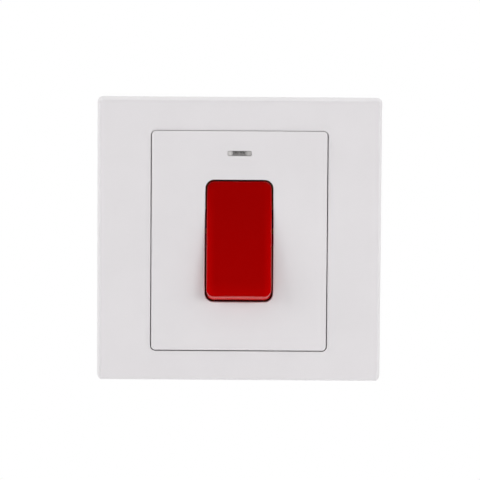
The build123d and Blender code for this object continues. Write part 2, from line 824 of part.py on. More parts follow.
with BuildPart() as rocker:
    extrude(outer_profile, amount=rocker_width / 2, both=True)
    fillet(rocker.edges().filter_by(GeomType.CIRCLE), rocker_corner_radius)
    with BuildSketch(rocker_section):
        with BuildLine():
            edge_rise = face_rise - rocker_crown
            ThreePointArc((rocker_width / 2, edge_rise), (0, face_rise), (-rocker_width / 2, edge_rise))
            Polyline(
                (-rocker_width / 2, edge_rise),
                (-rocker_width / 2, -skirt_drop),
                (rocker_width / 2, -skirt_drop),
                (rocker_width / 2, edge_rise),
            )
        make_face()
    extrude(amount=rocker_length, both=True, mode=Mode.INTERSECT)
    crown_face = rocker.faces().sort_by(Axis(rocker_front.origin, rocker_front.z_dir))[-1]
    fillet(crown_face.edges(), rocker_edge_radius)
    extrude(inner_profile, amount=rocker_width / 2 - rocker_wall, both=True, mode=Mode.SUBTRACT)
    # Cross web and plunger barrels
    with BuildSketch(rocker_front.offset(-skirt_drop)):
        Rectangle(rocker_width - 2 * rocker_wall, web_thickness)
    extrude(amount=skirt_drop + rocker_ceiling_rise)
    with BuildSketch(rocker_front.offset(-barrel_reach)):
        with Locations((-pole_place, 0), (pole_place, 0)):
            Circle(barrel_radius)
    extrude(amount=barrel_reach + rocker_ceiling_rise)
    with BuildSketch(rocker_front.offset(-barrel_reach)):
        with Locations((-pole_place, 0), (pole_place, 0)):
            Circle(plunger_radius + plunger_clearance)
    extrude(amount=barrel_reach + spring_seat_rise, mode=Mode.SUBTRACT)
    # Lugs on the side walls and the trunnions on them
    for side in SIDES.values():
        lug_place = side * (rocker_width - rocker_wall) / 2
        with BuildSketch(tilted_side(pivot_height, rocker_tilt, lug_place)):
            Circle(lug_radius)
        extrude(amount=rocker_wall / 2, both=True)
        pin_place = side * (rocker_width - rocker_wall + trunnion_length) / 2
        with BuildSketch(tilted_side(pivot_height, rocker_tilt, pin_place)):
            Circle(trunnion_radius)
        extrude(amount=(rocker_wall + trunnion_length) / 2, both=True)
keep(rocker.part, "rocker")
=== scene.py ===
import json
import math

import bmesh
import bpy
import numpy as np
from mathutils import Matrix, Vector


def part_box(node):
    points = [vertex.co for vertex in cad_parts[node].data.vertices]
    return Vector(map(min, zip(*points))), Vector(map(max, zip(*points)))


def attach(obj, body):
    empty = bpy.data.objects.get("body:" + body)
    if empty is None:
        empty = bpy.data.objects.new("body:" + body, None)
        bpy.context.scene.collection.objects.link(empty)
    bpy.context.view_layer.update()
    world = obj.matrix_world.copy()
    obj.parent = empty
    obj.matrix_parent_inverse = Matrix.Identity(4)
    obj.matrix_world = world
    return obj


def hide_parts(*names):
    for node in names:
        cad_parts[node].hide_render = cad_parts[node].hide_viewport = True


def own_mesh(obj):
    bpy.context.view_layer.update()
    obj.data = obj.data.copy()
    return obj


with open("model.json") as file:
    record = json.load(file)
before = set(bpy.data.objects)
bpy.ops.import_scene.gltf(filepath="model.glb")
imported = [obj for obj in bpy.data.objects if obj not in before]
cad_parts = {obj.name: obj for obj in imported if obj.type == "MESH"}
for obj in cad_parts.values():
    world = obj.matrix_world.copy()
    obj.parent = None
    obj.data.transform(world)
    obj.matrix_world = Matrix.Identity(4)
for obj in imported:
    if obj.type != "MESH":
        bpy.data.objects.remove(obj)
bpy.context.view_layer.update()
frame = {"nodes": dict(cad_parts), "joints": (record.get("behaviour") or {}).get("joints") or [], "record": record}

# Double pole switch on a square wall plate, seen a little from above.
# Lengths are in metres: a value written in millimetres is multiplied by MM.
MM = 0.001
FULL_TURN = 2 * math.pi

# View: long lens in front of the plate, a few degrees up, rolled by a fraction of a degree
LENS_LENGTH = 200.0
VIEW_DISTANCE = 809.0 * MM
VIEW_ELEVATION = math.radians(4.4)
VIEW_ROLL = math.radians(0.38)
VIEW_AIM = Vector((0.27 * MM, 0.0, -0.37 * MM))

# Finishes: the stretch of a noise's values that is used, and how strongly grain and streaks stand out
NOISE_LOW = 0.3
NOISE_HIGH = 0.7
GRAIN_STRENGTH = 0.5
STREAK_STRENGTH = 0.4

# Colour mix: the places of its share, its two colours and its result among the node's sockets
MIX_SHARE = 0
MIX_FIRST = 6
MIX_SECOND = 7
MIX_RESULT = 2

# New pieces: edges that turn by more than this stay sharp
SHARP_ANGLE = math.radians(34)

# Rounded bars: rings of the arc at the foot and of the dome, which ends short of its pole, in degrees
FOOT_RINGS = 10
DOME_RINGS = 16
DOME_END = 87

# Cross-recessed pan-head screws that hold the housing: threaded shank, head with its crown, and recess
SCREW_COLUMNS = 80
SCREW_SPIN = 0.8
SHANK_RINGS = 100
SHANK_START = 0.01
SCREW_CREST_RADIUS = 1.45 * MM
SCREW_ROOT_RADIUS = 1.1 * MM
SCREW_PITCH = 1.1 * MM
SCREW_RIDGE = 0.26
SCREW_POINT = 1.6 * MM
SCREW_BLUNT = 0.04
SCREW_HEAD_RADIUS = 2.9 * MM
SCREW_HEAD_HEIGHT = 2.0 * MM
SCREW_CROWN = 1.3 * MM
CROWN_POWER = 3
CROWN_RINGS = 60
CROWN_MIDDLE = 0.02
RECESS_ARM = 1.6 * MM
RECESS_WIDTH = 0.9 * MM
RECESS_DEPTH = 1.2 * MM
RECESS_BEVEL = 0.16 * MM
RECESS_TAPER = 0.5

# Indicator's window: half its height, and how far above its middle line it is clearest
WINDOW_HALF = 0.78 * MM
WINDOW_CLEAREST = 0.6 * WINDOW_HALF
# Where its haze ends on the left, begins on the right, and lies in the middle
GUIDE_LEFT = (-2.85 * MM, -1.55 * MM)
GUIDE_RIGHT = (0.95 * MM, 2.75 * MM)
GUIDE_CENTRE = -0.2 * MM
GUIDE_MIDDLE = 0.4 * MM
# Share of light that goes through: where it is clear, in the middle, at both edges and at both ends
GUIDE_CLEAR = 0.9
GUIDE_HAZY = 0.68
GUIDE_LOW = 0.62
GUIDE_HIGH = 0.48
GUIDE_MILKY = (0.05, 0.35)

# Rocker's painted light along its sides: its share at the top and from half height down, and the distances
# from the middle line at which it starts and is full
SIDE_PAINTED_LIGHT = (0.15, 0.62)
SIDE_START = 6.8 * MM
SIDE_END = 9.9 * MM
# Its shares of painted light towards the low end and on the rim there, and the heights of rim and of the lip's
# painted highlight above that end
END_PAINTED_LIGHT = 0.17
RIM_PAINTED_LIGHT = 0.23
RIM_START = 6.4 * MM
RIM_END = 2.7 * MM
LIP_START = 2.0 * MM
LIP_END = 1.3 * MM

# Neon lamp: glass envelope with two rods on a pinched foot
LAMP_COLUMNS = 48
GLASS_WALL = 0.3 * MM
GLASS_EDGE = 0.4 * MM
LAMP_PIP = 0.35 * MM
LAMP_FOOT = 1.6 * MM
ROD_COLUMNS = 24
ROD_RADIUS = 0.42 * MM
ROD_LENGTH = 5.2 * MM
ROD_SPREAD = 0.8 * MM
ROD_EDGE = 0.1 * MM

# Series resistor: a dog-bone body with four colour rings
RESISTOR_RINGS = 90
RESISTOR_COLUMNS = 40
RESISTOR_END = 0.001
RESISTOR_WAIST = 0.84
RESISTOR_SHOULDER = 0.78
RESISTOR_SPREAD = 0.17
RING_WIDTH = 0.085
RING_PLACES = (0.18, 0.37, 0.53, 0.80)
RING_COLOURS = ("#5A3320", "#2E6A3C", "#D9B225", "#A88034")
BODY_COLOUR = "#CDB084"

# Plunger springs: how far their seat lies in front of the rocker's pivot, what they give beyond the
# plunger's travel, and their coil and wire
SPRING_SEAT = 2.48 * MM
SPRING_LENGTH = 5.46 * MM
SPRING_RADIUS = 1.6 * MM
SPRING_TURNS = 5
SPRING_STEPS = 36
WIRE_RADIUS = 0.25 * MM
WIRE_COLUMNS = 14

# Raised letters on the housing's back, between the screw collars
COLLAR_RISE = 5.5 * MM
MARK_HEIGHT = 4.2 * MM
MARK_RISE = 0.5 * MM
MARK_ACROSS = 4.2 * MM
MARK_UP = 23.6 * MM
MARK_WELD = 0.0001 * MM
WORD_UP = 17.6 * MM

# Studio: fill light, floor disc, and a dark curved screen round the front, with its angles in degrees
FILL_STRENGTH = 0.33
FLOOR_LEVEL = -0.64
FLOOR_RADIUS = 1.6
FLOOR_THICKNESS = 0.02
FLOOR_EDGE = 0.005
FLOOR_COLUMNS = 96
FLOOR_WHITE = 0.75
SCREEN_RADIUS = 0.28
SCREEN_SIDE = 85
SCREEN_FOOT = -87
SCREEN_HEAD = 88
SCREEN_COLUMNS = 33
SCREEN_ROWS = 25

nodes = frame["nodes"]
joints = {joint["name"]: joint for joint in frame["joints"]}


def linear(code):
    """Linear RGBA of an sRGB hex colour."""
    levels = np.array([int(code[i : i + 2], 16) for i in (1, 3, 5)]) / 255
    low = levels / 12.92
    high = ((levels + 0.055) / 1.055) ** 2.4
    return (*np.where(levels <= 0.04045, low, high), 1.0)


def per_metre(millimetres):
    """Texture scale at which one period of a pattern measures the given millimetres."""
    return 1.0 / (millimetres * MM)


def add_node(tree, kind, inputs=(), **settings):
    """Add one node: settings are its properties, inputs maps each socket to a value or to what feeds it."""
    node = tree.nodes.new(kind)
    for name, value in settings.items():
        setattr(node, name, value)
    for socket, value in dict(inputs).items():
        if isinstance(value, bpy.types.NodeSocket):
            tree.links.new(value, node.inputs[socket])
        else:
            node.inputs[socket].default_value = value
    return node


def blank_material(name):
    """Empty material: its node tree and the Object coordinates that its patterns read."""
    material = bpy.data.materials.new(name)
    material.use_nodes = True
    material.node_tree.nodes.clear()
    where = add_node(material.node_tree, "ShaderNodeTexCoord").outputs["Object"]
    return material, material.node_tree, where


def close_material(tree, inputs):
    """Give a material its shader and output."""
    shader = add_node(tree, "ShaderNodeBsdfPrincipled", inputs)
    add_node(tree, "ShaderNodeOutputMaterial", {"Surface": shader.outputs["BSDF"]})


def ramp_between(ramp, stops):
    """Set a colour ramp's stops from pairs of place and hex colour."""
    band = ramp.color_ramp
    while len(band.elements) < len(stops):
        band.elements.new(1.0)
    for element, (place, code) in zip(band.elements, stops):
        element.position = place
        element.color = linear(code)
    return ramp.outputs["Color"]


def moulded_plastic(name, dark, light, cloud, grain, depth, gloss, **constants):
    """Moulded plastic: cloudy mix of two close colours, and a fine tool-made grain as bump.

    The gloss drifts with the clouds. Cloud, grain and its depth are in millimetres.
    """
    material, tree, where = blank_material(name)
    inputs = {"Vector": where, "Scale": per_metre(cloud), "Detail": 3.0}
    mottle = add_node(tree, "ShaderNodeTexNoise", inputs).outputs["Fac"]
    ramp = add_node(tree, "ShaderNodeValToRGB", {"Fac": mottle})
    inputs = {"Vector": where, "Scale": per_metre(grain), "Detail": 2.0}
    skin = add_node(tree, "ShaderNodeTexNoise", inputs).outputs["Fac"]
    inputs = {"Height": skin, "Strength": GRAIN_STRENGTH, "Distance": depth * MM}
    bump = add_node(tree, "ShaderNodeBump", inputs)
    inputs = {"Value": mottle, "From Min": NOISE_LOW, "From Max": NOISE_HIGH}
    inputs |= {"To Min": gloss[0], "To Max": gloss[1]}
    sheen = add_node(tree, "ShaderNodeMapRange", inputs)
    inputs = {
        "Base Color": ramp_between(ramp, [(NOISE_LOW, dark), (NOISE_HIGH, light)]),
        "Roughness": sheen.outputs["Result"],
        "Normal": bump.outputs["Normal"],
    }
    close_material(tree, inputs | constants)
    return material


def worked_metal(name, dark, light, stretch, grain, depth, gloss):
    """Worked metal: streaks along the working direction tint it, roughen it and stand in its surface.

    A stretch under 1 draws the streaks out along that axis. Grain and its depth are in millimetres.
    """
    material, tree, where = blank_material(name)
    along = add_node(tree, "ShaderNodeMapping", {"Vector": where, "Scale": stretch})
    inputs = {"Vector": along.outputs["Vector"], "Scale": per_metre(grain), "Detail": 4.0}
    streak = add_node(tree, "ShaderNodeTexNoise", inputs).outputs["Fac"]
    ramp = add_node(tree, "ShaderNodeValToRGB", {"Fac": streak})
    inputs = {"Height": streak, "Strength": STREAK_STRENGTH, "Distance": depth * MM}
    bump = add_node(tree, "ShaderNodeBump", inputs)
    inputs = {"Value": streak, "From Min": NOISE_LOW, "From Max": NOISE_HIGH}
    inputs |= {"To Min": gloss[0], "To Max": gloss[1]}
    sheen = add_node(tree, "ShaderNodeMapRange", inputs)
    inputs = {
        "Base Color": ramp_between(ramp, [(NOISE_LOW, dark), (NOISE_HIGH, light)]),
        "Metallic": 1.0,
        "Roughness": sheen.outputs["Result"],
        "Normal": bump.outputs["Normal"],
    }
    close_material(tree, inputs)
    return material


def clear_glass(name, dark, light, cloud, gloss, **constants):
    """Clear glass: its tint drifts slightly in clouds of that many millimetres, light goes through."""
    material, tree, where = blank_material(name)
    inputs = {"Vector": where, "Scale": per_metre(cloud), "Detail": 2.0}
    mottle = add_node(tree, "ShaderNodeTexNoise", inputs)
    ramp = add_node(tree, "ShaderNodeValToRGB", {"Fac": mottle.outputs["Fac"]})
    inputs = {
        "Base Color": ramp_between(ramp, [(NOISE_LOW, dark), (NOISE_HIGH, light)]),
        "Roughness": gloss,
        "Transmission Weight": 1.0,
    }
    close_material(tree, inputs | constants)
    return material


def plastic_with_painted_light(name, deep, bright, lip, low, high, flow, depth, gloss, **constants):
    """Pigmented plastic with painted light: deep in the middle, painted brighter to its sides and low end.

    The glow is painted light, a sum of smooth steps: over the distance from the middle line, weaker near the top,
    over the height, and over the rim of the low end. One more step over the height leads to the colour of the lip,
    a painted highlight.
    Flow marks, whose size and depth are in millimetres, ripple the gloss.
    """
    material, tree, where = blank_material(name)
    axes = add_node(tree, "ShaderNodeSeparateXYZ", {"Vector": where})
    height = axes.outputs["Z"]
    inputs = {0: axes.outputs["X"]}
    aside = add_node(tree, "ShaderNodeMath", inputs, operation="ABSOLUTE").outputs["Value"]
    inputs = {"Value": height, "From Min": high, "From Max": (low + high) / 2}
    inputs |= {"To Min": SIDE_PAINTED_LIGHT[0], "To Max": SIDE_PAINTED_LIGHT[1]}
    beside = add_node(tree, "ShaderNodeMapRange", inputs, interpolation_type="SMOOTHSTEP")
    # The glow is painted light: brightness added to the red towards its sides and low end.
    glow = 0.0
    for value, start, end, share in (
        (aside, SIDE_START, SIDE_END, beside.outputs["Result"]),
        (height, high, low, END_PAINTED_LIGHT),
        (height, low + RIM_START, low + RIM_END, RIM_PAINTED_LIGHT),
    ):
        inputs = {"Value": value, "From Min": start, "From Max": end, "To Max": share}
        step = add_node(tree, "ShaderNodeMapRange", inputs, interpolation_type="SMOOTHSTEP")
        inputs = {0: glow, 1: step.outputs["Result"]}
        glow = add_node(tree, "ShaderNodeMath", inputs, operation="ADD").outputs["Value"]
    ramp = add_node(tree, "ShaderNodeValToRGB", {"Fac": glow})
    # The lip's colour is a painted highlight on the edge of the low end.
    inputs = {"Value": height, "From Min": low + LIP_START, "From Max": low + LIP_END}
    step = add_node(tree, "ShaderNodeMapRange", inputs, interpolation_type="SMOOTHSTEP")
    inputs = {
        MIX_SHARE: step.outputs["Result"],
        MIX_FIRST: ramp_between(ramp, [(0.0, deep), (1.0, bright)]),
        MIX_SECOND: linear(lip),
    }
    colour = add_node(tree, "ShaderNodeMix", inputs, data_type="RGBA").outputs[MIX_RESULT]
    inputs = {"Vector": where, "Scale": per_metre(flow), "Detail": 2.0}
    ripple = add_node(tree, "ShaderNodeTexNoise", inputs).outputs["Fac"]
    inputs = {"Value": ripple, "From Min": NOISE_LOW, "From Max": NOISE_HIGH}
    inputs |= {"To Min": gloss[0], "To Max": gloss[1]}
    sheen = add_node(tree, "ShaderNodeMapRange", inputs)
    inputs = {"Height": ripple, "Strength": STREAK_STRENGTH, "Distance": depth * MM}
    bump = add_node(tree, "ShaderNodeBump", inputs)
    inputs = {
        "Base Color": colour,
        "Roughness": sheen.outputs["Result"],
        "Normal": bump.outputs["Normal"],
    }
    close_material(tree, inputs | constants)
    return material


def light_guide(name, dark, light, level, cloud, gloss, **constants):
    """Milky plastic that is clear over the two electrodes, tinted in clouds of that many millimetres.

    What goes through is the least of five smooth steps: it falls to either end, to the middle and to both
    edges, which lie below and above the level of its middle line.
    """
    material, tree, where = blank_material(name)
    axes = add_node(tree, "ShaderNodeSeparateXYZ", {"Vector": where})
    across = axes.outputs["X"]
    height = axes.outputs["Z"]
    inputs = {0: across, 1: GUIDE_CENTRE}
    aside = add_node(tree, "ShaderNodeMath", inputs, operation="SUBTRACT").outputs["Value"]
    aside = add_node(tree, "ShaderNodeMath", {0: aside}, operation="ABSOLUTE").outputs["Value"]
    clearest = level + WINDOW_CLEAREST
    clear = 1.0
    for value, start, end, first, last in (
        (across, *GUIDE_LEFT, GUIDE_MILKY[0], GUIDE_CLEAR),
        (across, *GUIDE_RIGHT, GUIDE_CLEAR, GUIDE_MILKY[1]),
        (aside, 0.0, GUIDE_MIDDLE, GUIDE_HAZY, GUIDE_CLEAR),
        (height, level - WINDOW_HALF, clearest, GUIDE_LOW, GUIDE_CLEAR),
        (height, clearest, level + WINDOW_HALF, GUIDE_CLEAR, GUIDE_HIGH),
    ):
        inputs = {"Value": value, "From Min": start, "From Max": end, "To Min": first, "To Max": last}
        step = add_node(tree, "ShaderNodeMapRange", inputs, interpolation_type="SMOOTHSTEP")
        inputs = {0: clear, 1: step.outputs["Result"]}
        clear = add_node(tree, "ShaderNodeMath", inputs, operation="MINIMUM").outputs["Value"]
    inputs = {"Vector": where, "Scale": per_metre(cloud), "Detail": 2.0}
    mottle = add_node(tree, "ShaderNodeTexNoise", inputs)
    ramp = add_node(tree, "ShaderNodeValToRGB", {"Fac": mottle.outputs["Fac"]})
    inputs = {
        "Base Color": ramp_between(ramp, [(NOISE_LOW, dark), (NOISE_HIGH, light)]),
        "Roughness": gloss,
        "Transmission Weight": clear,
    }
    close_material(tree, inputs | constants)
    return material


def ringed_lacquer(name, low, high, ripple, depth, gloss):
    """Lacquered resistor: colour rings at shares of its length along X, over a slightly rippled coat.

    The ripples' size and depth are in millimetres.
    """
    material, tree, where = blank_material(name)
    axes = add_node(tree, "ShaderNodeSeparateXYZ", {"Vector": where})
    inputs = {"Value": axes.outputs["X"], "From Min": low, "From Max": high}
    share = add_node(tree, "ShaderNodeMapRange", inputs)
    ramp = add_node(tree, "ShaderNodeValToRGB", {"Fac": share.outputs["Result"]})
    ramp.color_ramp.interpolation = "CONSTANT"
    stops = [(0.0, BODY_COLOUR)]
    for place, code in zip(RING_PLACES, RING_COLOURS):
        stops += [(place - RING_WIDTH / 2, code), (place + RING_WIDTH / 2, BODY_COLOUR)]
    inputs = {"Vector": where, "Scale": per_metre(ripple), "Detail": 2.0}
    coat = add_node(tree, "ShaderNodeTexNoise", inputs)
    inputs = {"Height": coat.outputs["Fac"], "Strength": GRAIN_STRENGTH, "Distance": depth * MM}
    bump = add_node(tree, "ShaderNodeBump", inputs)
    inputs = {
        "Base Color": ramp_between(ramp, stops),
        "Roughness": gloss,
        "Normal": bump.outputs["Normal"],
    }
    close_material(tree, inputs)
    return material


# White urea, compression moulded and lightly textured: satin, evenly bright, soft highlights
white_urea = moulded_plastic(
    "white_urea_satin_moulding",
    "#DFDCDE",
    "#E2DFE1",
    cloud=18.0,
    grain=0.35,
    depth=0.012,
    gloss=(0.34, 0.42),
    **{"Specular IOR Level": 0.4},
)
# Red polycarbonate, polished mould: deep even red, with painted light along its sides and towards its low end, and
# a painted highlight at the lip there
rocker_low, rocker_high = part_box("rocker")
red_polycarbonate = plastic_with_painted_light(
    "red_polycarbonate_moulding_painted_light",
    "#950000",
    # Red at full painted light
    "#B80001",
    # Painted highlight colour of the lip
    "#D00A08",
    rocker_low.z,
    rocker_high.z,
    flow=9.0,
    depth=0.01,
    gloss=(0.07, 0.1),
    **{"Specular IOR Level": 0.27},
)
# Charcoal phenolic, compression moulded: matt, with a faint mineral-filler mottle
charcoal_phenolic = moulded_plastic(
    "charcoal_phenolic_moulding",
    "#2A2B2D",
    "#36373A",
    cloud=1.4,
    grain=0.25,
    depth=0.02,
    gloss=(0.5, 0.62),
)
# Natural acetal rod: waxy, slightly yellow white
natural_acetal = moulded_plastic(
    "natural_acetal_turned",
    "#DCD8CC",
    "#E8E4DA",
    cloud=3.0,
    grain=0.2,
    depth=0.004,
    gloss=(0.3, 0.38),
)
# Milky polycarbonate light guide: scatters light at its ends, shows the dark lamp through its middle
lens_low, lens_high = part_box("indicator_lens")
milky_lens = light_guide(
    "milky_polycarbonate_light_guide",
    "#D6D3D2",
    "#DEDBDA",
    level=(lens_low.z + lens_high.z) / 2,
    cloud=1.2,
    gloss=0.12,
    IOR=1.585,
)
# Soft lead glass of the lamp: clear, slightly uneven where it was drawn and pinched
lamp_glass = clear_glass("drawn_lamp_glass", "#EDEFEE", "#F8FAF9", cloud=1.2, gloss=0.03, IOR=1.52)
# Zinc-plated steel: bluish white, mottled by the passivation
zinc_steel = worked_metal(
    "zinc_plated_steel",
    "#A9ADB4",
    "#C9CCD0",
    stretch=(1, 1, 1),
    grain=0.8,
    depth=0.006,
    gloss=(0.28, 0.42),
)
# Drawn and milled brass: yellow, finely streaked along the bar
milled_brass = worked_metal(
    "milled_brass_bar",
    "#BD9850",
    "#CAA65D",
    stretch=(1, 1, 0.08),
    grain=0.14,
    depth=0.0008,
    gloss=(0.27, 0.35),
)
# Rolled copper strip: reddish, faintly oxidised
rolled_copper = worked_metal(
    "rolled_copper_strip",
    "#B46C4A",
    "#C27853",
    stretch=(0.1, 1, 1),
    grain=0.16,
    depth=0.0008,
    gloss=(0.28, 0.38),
)
# Silver contact faces: coined, bright and slightly tarnished
coined_silver = worked_metal(
    "coined_silver_contact",
    "#C4C1BA",
    "#DEDBD5",
    stretch=(1, 1, 1),
    grain=0.6,
    depth=0.004,
    gloss=(0.2, 0.32),
)
# Tinned copper wire: dull silver, drawn along its length
tinned_copper = worked_metal(
    "tinned_copper_wire",
    "#A8A8A6",
    "#C2C2BF",
    stretch=(0.2, 0.2, 1),
    grain=0.3,
    depth=0.003,
    gloss=(0.3, 0.42),
)
# Patented spring wire, oiled: dark steel with drawn streaks
spring_wire = worked_metal(
    "drawn_spring_steel",
    "#6C6E72",
    "#8B8D91",
    stretch=(1, 0.2, 1),
    grain=0.25,
    depth=0.003,
    gloss=(0.26, 0.36),
)
# Nickel electrode rods: grey, dulled by their coating
electrode_nickel = worked_metal(
    "electrode_nickel",
    "#55524E",
    "#6E6B66",
    stretch=(1, 0.2, 1),
    grain=0.3,
    depth=0.003,
    gloss=(0.4, 0.55),
)
# Lacquered resistor: beige coat with four colour rings
resistor_low, resistor_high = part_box("neon_resistor")
resistor_lacquer = ringed_lacquer(
    "ringed_resistor_lacquer",
    resistor_low.x,
    resistor_high.x,
    ripple=0.9,
    depth=0.02,
    gloss=0.32,
)

FINISHES = {
    "white_plastic": white_urea,
    "red_plastic": red_polycarbonate,
    "lens_plastic": milky_lens,
    "lamp_glass": lamp_glass,
    "resistor_lacquer": resistor_lacquer,
    "tinned_copper": tinned_copper,
    "dark_plastic": charcoal_phenolic,
    "zinc_steel": zinc_steel,
    "brass": milled_brass,
    "copper": rolled_copper,
    "silver": coined_silver,
    "plunger_plastic": natural_acetal,
    "spring_steel": spring_wire,
}

for entry in frame["record"]["subparts"]:
    materials = nodes[entry["node"]].data.materials
    materials.clear()
    materials.append(FINISHES[entry["material_slot"]])


def new_piece(name, mesh, material, body="base"):
    """Stand a mesh on a body with one material."""
    mesh.materials.clear()
    mesh.materials.append(material)
    mesh.shade_smooth()
    mesh.set_sharp_from_angle(angle=SHARP_ANGLE)
    piece = bpy.data.objects.new(name, mesh)
    bpy.context.scene.collection.objects.link(piece)
    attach(piece, body)
    return piece


def mesh_of(name, skins):
    """One mesh of several skins, each its points, its quads and its triangles."""
    starts = np.cumsum([0] + [len(points) for points, _, _ in skins])
    points = np.concatenate([points for points, _, _ in skins])
    quads = np.concatenate([quads + start for start, (_, quads, _) in zip(starts, skins)])
    fans = np.concatenate([fans + start for start, (_, _, fans) in zip(starts, skins)])
    mesh = bpy.data.meshes.new(name)
    mesh.from_pydata(points.tolist(), [], quads.tolist() + fans.tolist())
    return mesh


def closed_skin(grid):
    """Skin over a grid of points, ring by ring: each ring closes round, fans close the two end rings."""
    rings, columns, _ = grid.shape
    points = np.concatenate([grid.reshape(-1, 3), grid[[0, -1]].mean(1)])
    count = np.arange(rings * columns).reshape(rings, columns)
    after = np.roll(count, -1, axis=1)
    quads = np.stack([count[:-1], after[:-1], after[1:], count[1:]], axis=-1).reshape(-1, 4)
    foot = np.stack([after[0], count[0], np.full(columns, rings * columns)], axis=-1)
    crown = np.stack([count[-1], after[-1], np.full(columns, rings * columns + 1)], axis=-1)
    return points, quads, np.concatenate([foot, crown])


def turned_skin(axis, radius, height, centre):
    """Turned skin: ring i, column j stands at height[i, j] along the axis and radius[i, j] from it.

    The columns go round the axis in equal angles.
    """
    angle = np.linspace(0, FULL_TURN, radius.shape[1], endpoint=False)[:, None]
    along = np.array(axis, dtype=float)
    across = np.roll(along, -1)
    spoke = np.cos(angle) * across + np.sin(angle) * np.cross(along, across)
    return closed_skin(centre + height[..., None] * along + radius[..., None] * spoke)


def inside_out(skin):
    """The same skin seen from within: the wall of a hollow."""
    points, quads, fans = skin
    return points, quads[:, ::-1], fans[:, ::-1]


def capsule(radius, low, high, low_edge, high_edge, columns):
    """Radii and heights of a round bar with rounded ends: two quarter arcs joined by its straight side."""
    below = np.radians(np.linspace(-90, 0, FOOT_RINGS))
    above = np.radians(np.linspace(0, DOME_END, DOME_RINGS))
    radii = np.concatenate(
        [radius - low_edge + low_edge * np.cos(below), radius - high_edge + high_edge * np.cos(above)]
    )
    heights = np.concatenate(
        [low + low_edge + low_edge * np.sin(below), high - high_edge + high_edge * np.sin(above)]
    )
    return [np.repeat(values[:, None], columns, axis=1) for values in (radii, heights)]


def screw_skin(centre, length, spin):
    """Pan-head tapping screw along +Y with a cross sunk in its crown.

    The thread is a tent over the phase (height / pitch - turn), so it winds once round per pitch on a core
    that tapers to the point. The crown is a superellipse, the cross two bars with sloping walls.
    """
    turn = np.linspace(0, 1, SCREW_COLUMNS, endpoint=False)[None, :]
    seat = length - SCREW_HEAD_HEIGHT
    shank = np.linspace(SHANK_START, 1, SHANK_RINGS)[:, None] * seat
    phase = np.abs((shank / SCREW_PITCH - turn) % 1 - 0.5)
    ridge = np.clip(1 - phase / SCREW_RIDGE, 0, 1)
    core = SCREW_ROOT_RADIUS + (SCREW_CREST_RADIUS - SCREW_ROOT_RADIUS) * ridge
    taper = np.clip(shank / SCREW_POINT, SCREW_BLUNT, 1)
    side = np.array([[SCREW_CREST_RADIUS], [SCREW_HEAD_RADIUS], [SCREW_HEAD_RADIUS]])
    rise = np.array([[seat], [seat], [length - SCREW_CROWN]])
    share = np.linspace(1, CROWN_MIDDLE, CROWN_RINGS)[1:, None]
    crown = length - SCREW_CROWN * (1 - (1 - share**CROWN_POWER) ** (1 / CROWN_POWER))
    out = SCREW_HEAD_RADIUS * share
    east = np.abs(out * np.cos(FULL_TURN * turn + spin))
    north = np.abs(out * np.sin(FULL_TURN * turn + spin))
    bars = [
        np.minimum((RECESS_WIDTH / 2 - near) / RECESS_BEVEL, (RECESS_ARM - far) / RECESS_BEVEL)
        for near, far in ((east, north), (north, east))
    ]
    cross = np.clip(np.maximum(*bars), 0, 1) * (1 - RECESS_TAPER * (out / RECESS_ARM) ** 2)
    whole = np.ones_like(turn)
    radius = np.concatenate([core * taper, side * whole, out * whole])
    height = np.concatenate([shank * whole, rise * whole, crown - RECESS_DEPTH * cross])
    return turned_skin((0, 1, 0), radius, height, centre)


screw_low, screw_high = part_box("housing_screws")
screw_places = [
    np.array([x, screw_low.y, z])
    for x in (screw_low.x + SCREW_HEAD_RADIUS, screw_high.x - SCREW_HEAD_RADIUS)
    for z in (screw_low.z + SCREW_HEAD_RADIUS, screw_high.z - SCREW_HEAD_RADIUS)
]
screw_length = screw_high.y - screw_low.y
screw_skins = [
    screw_skin(place, screw_length, SCREW_SPIN * order) for order, place in enumerate(screw_places)
]
assembly_screws = new_piece(
    "assembly_screws", mesh_of("assembly_screws", screw_skins), zinc_steel
)
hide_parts("housing_screws")


def lamp_skins():
    """Glass envelope: a capsule with a bell-shaped pip on its dome, round a hollow that is a smaller one."""
    dome_top = lamp_length - LAMP_PIP
    radius, height = capsule(lamp_radius, 0, dome_top, GLASS_EDGE, lamp_radius, LAMP_COLUMNS)
    pip = LAMP_PIP * np.exp(-((radius / LAMP_PIP) ** 2)) * (height > lamp_length / 2)
    outer = turned_skin((0, -1, 0), radius, height + pip, lamp_base)
    hollow_radius = lamp_radius - GLASS_WALL
    hollow_top = dome_top - GLASS_WALL
    hollow = capsule(hollow_radius, LAMP_FOOT, hollow_top, GLASS_EDGE, hollow_radius, LAMP_COLUMNS)
    return [outer, inside_out(turned_skin((0, -1, 0), *hollow, lamp_base))]


lamp_low, lamp_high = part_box("neon_lamp")
lamp_radius = (lamp_high.x - lamp_low.x) / 2
lamp_length = lamp_high.y - lamp_low.y
lamp_base = np.array([(lamp_low.x + lamp_high.x) / 2, lamp_high.y, (lamp_low.z + lamp_high.z) / 2])
lamp_envelope = new_piece(
    "lamp_envelope", mesh_of("lamp_envelope", lamp_skins()), lamp_glass
)
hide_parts("neon_lamp")
rod_sizes = capsule(ROD_RADIUS, LAMP_FOOT, LAMP_FOOT + ROD_LENGTH, ROD_EDGE, ROD_EDGE, ROD_COLUMNS)
rod_skins = [
    turned_skin((0, -1, 0), *rod_sizes, lamp_base + np.array([side * ROD_SPREAD, 0, 0]))
    for side in (-1, 1)
]
new_piece("lamp_electrodes", mesh_of("lamp_electrodes", rod_skins), electrode_nickel)


